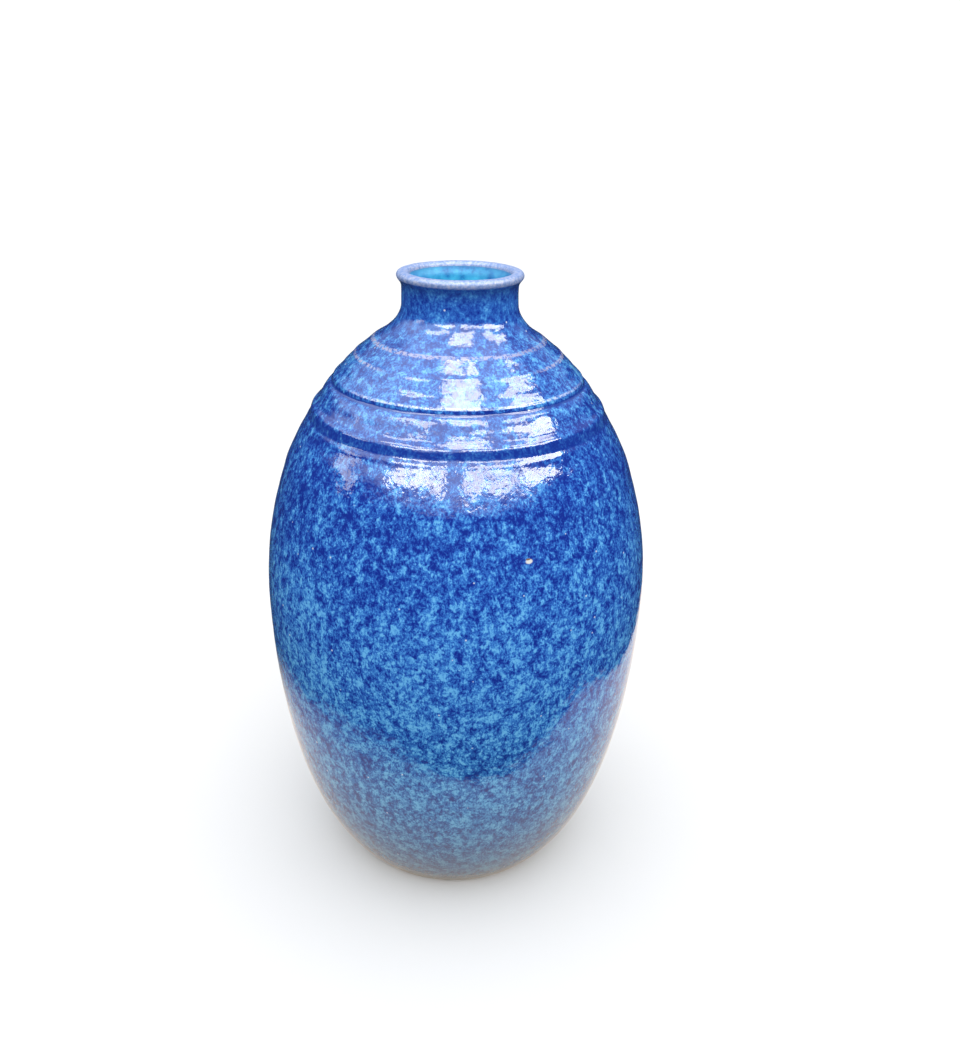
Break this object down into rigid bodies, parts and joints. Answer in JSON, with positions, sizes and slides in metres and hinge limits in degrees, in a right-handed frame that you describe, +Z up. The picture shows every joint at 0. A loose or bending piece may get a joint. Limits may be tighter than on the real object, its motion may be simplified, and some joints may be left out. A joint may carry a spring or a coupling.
{
  "type": "stoneware pottery vase",
  "caption": "Tall ovoid stoneware vase with a narrow neck, rolled lip and turned rings on the shoulder, in glossy mottled blue glaze with a turquoise lining.",
  "frame": {"origin": "centre of the foot, on the surface that the vase stands on", "axes": "+Z up along the vase's axis, out of the mouth; the vase is round about Z; -Y is the side the reference view looks at"},
  "size_m": [0.2224, 0.2224, 0.36],
  "materials": {
    "bare_clay": "unglazed stoneware, wiped and slightly rough",
    "clay_body": "fired stoneware under the glaze",
    "turquoise_liner": "glossy turquoise lining glaze",
    "blue_mottled_glaze": "glossy cobalt glaze mottled with turquoise, with a fine hammered surface"
  },
  "bodies": {
    "root": {"foot_ring": "bare_clay", "lower_body": "clay_body", "shoulder": "clay_body", "neck_collar": "clay_body", "liner_glaze": "turquoise_liner", "outer_glaze": "blue_mottled_glaze"}
  },
  "joints": []
}
